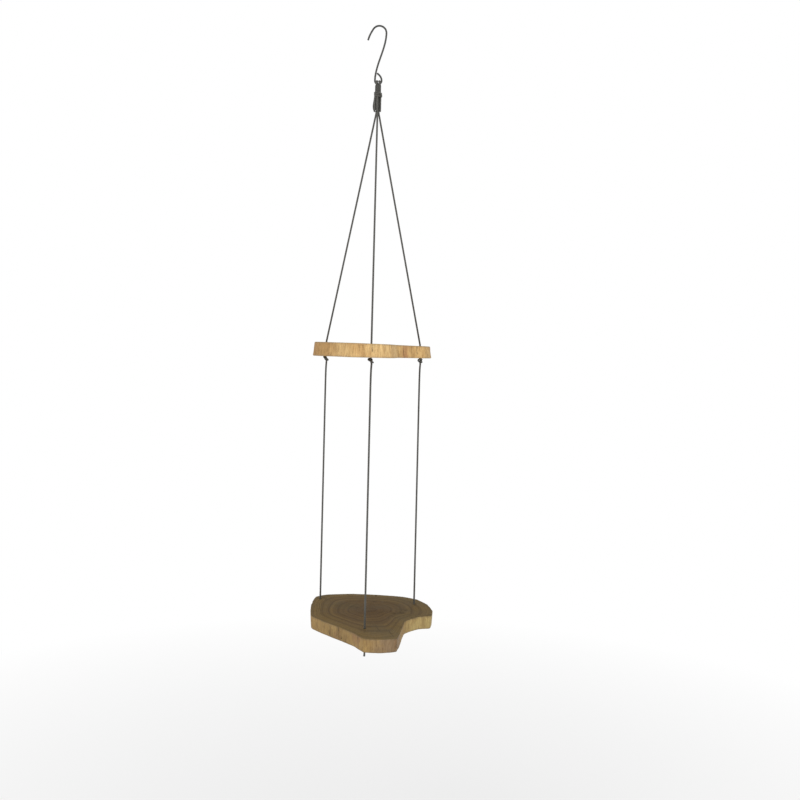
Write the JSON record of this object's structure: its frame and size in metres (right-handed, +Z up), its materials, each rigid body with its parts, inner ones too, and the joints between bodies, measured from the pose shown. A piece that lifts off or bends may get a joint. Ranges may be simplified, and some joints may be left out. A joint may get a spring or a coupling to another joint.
{
  "type": "hanging plant shelf",
  "caption": "Hanging plant shelf of live-edge wooden trunk slices, threaded on knotted dark cords and hung from a bent wire hook with an eye.",
  "frame": {"origin": "inside of the hook's crown, where it bears on what carries it", "axes": "+Z up, +X to the right, -Y the front, towards the boards' blunt noses"},
  "size_m": [0.1985, 0.2234, 0.951],
  "materials": {
    "wire": "blackened steel wire, satin",
    "cord": "waxed twisted cord, matt",
    "upper_wood": "sawn and dried trunk slice, unvarnished",
    "lower_wood": "sawn and dried trunk slice, unvarnished"
  },
  "bodies": {
    "hook_wire": {"hook": "wire"},
    "bights": {"cord_bights": "cord"},
    "neck": {"neck_strands": "cord", "neck_whipping": "cord"},
    "hanger": {"gathering_knot": "cord", "binding_tails": "cord", "cord_left_upper": "cord", "cord_right_upper": "cord", "cord_front_upper": "cord", "knot_left_upper": "cord", "knot_right_upper": "cord", "knot_front_upper": "cord", "upper_board": "upper_wood"},
    "left_bend": {"bend_left_top": "cord"},
    "left_cord": {"cord_left_lower": "cord"},
    "right_bend": {"bend_right_top": "cord"},
    "right_cord": {"cord_right_lower": "cord"},
    "front_bend": {"bend_front_top": "cord"},
    "front_cord": {"cord_front_lower": "cord"},
    "foot_bend": {"bend_left_foot": "cord"},
    "lower_shelf": {"cord_left_end": "cord", "cord_right_end": "cord", "cord_front_end": "cord", "knot_left_lower": "cord", "knot_right_lower": "cord", "knot_front_lower": "cord", "lower_board": "lower_wood"}
  },
  "joints": [
    {"name": "nod", "type": "hinge", "parent": "hook_wire", "child": "bights", "pos_m": [0, 0, -0.08895], "axis": [1, 0, 0], "range_deg": [-25, 25]},
    {"name": "sway", "type": "hinge", "parent": "bights", "child": "neck", "pos_m": [0, 0, -0.08895], "axis": [0, 1, 0], "range_deg": [-25, 25]},
    {"name": "twist", "type": "hinge", "parent": "neck", "child": "hanger", "pos_m": [0, 0, -0.1015], "axis": [0, 0, 1], "range_deg": [-90, 90], "stiffness_Nm_per_rad": 0.004},
    {"name": "lower_sway", "type": "hinge", "parent": "hanger", "child": "left_bend", "pos_m": [-0.076, 0.06, -0.52338], "axis": [0, 1, 0], "range_deg": [-20, 20]},
    {"name": "lower_nod", "type": "hinge", "parent": "left_bend", "child": "left_cord", "pos_m": [-0.076, 0.06, -0.52338], "axis": [1, 0, 0], "range_deg": [-20, 20]},
    {"name": "right_sway", "type": "hinge", "parent": "hanger", "child": "right_bend", "pos_m": [0.076, 0.044, -0.52338], "axis": [0, 1, 0], "range_deg": [-20, 20]},
    {"name": "right_nod", "type": "hinge", "parent": "right_bend", "child": "right_cord", "pos_m": [0.076, 0.044, -0.52338], "axis": [1, 0, 0], "range_deg": [-20, 20]},
    {"name": "front_sway", "type": "hinge", "parent": "hanger", "child": "front_bend", "pos_m": [0.002, -0.08, -0.52338], "axis": [0, 1, 0], "range_deg": [-20, 20]},
    {"name": "front_nod", "type": "hinge", "parent": "front_bend", "child": "front_cord", "pos_m": [0.002, -0.08, -0.52338], "axis": [1, 0, 0], "range_deg": [-20, 20]},
    {"name": "board_nod", "type": "hinge", "parent": "left_cord", "child": "foot_bend", "pos_m": [-0.076, 0.06, -0.90625], "axis": [1, 0, 0], "range_deg": [-20, 20]},
    {"name": "board_sway", "type": "hinge", "parent": "foot_bend", "child": "lower_shelf", "pos_m": [-0.076, 0.06, -0.90625], "axis": [0, 1, 0], "range_deg": [-20, 20]}
  ],
  "couplings": [
    {"joint": "board_nod", "follows": "lower_nod", "ratio": -1},
    {"joint": "board_sway", "follows": "lower_sway", "ratio": -1},
    {"joint": "right_sway", "follows": "lower_sway", "ratio": 1},
    {"joint": "right_nod", "follows": "lower_nod", "ratio": 1},
    {"joint": "front_sway", "follows": "lower_sway", "ratio": 1},
    {"joint": "front_nod", "follows": "lower_nod", "ratio": 1}
  ]
}
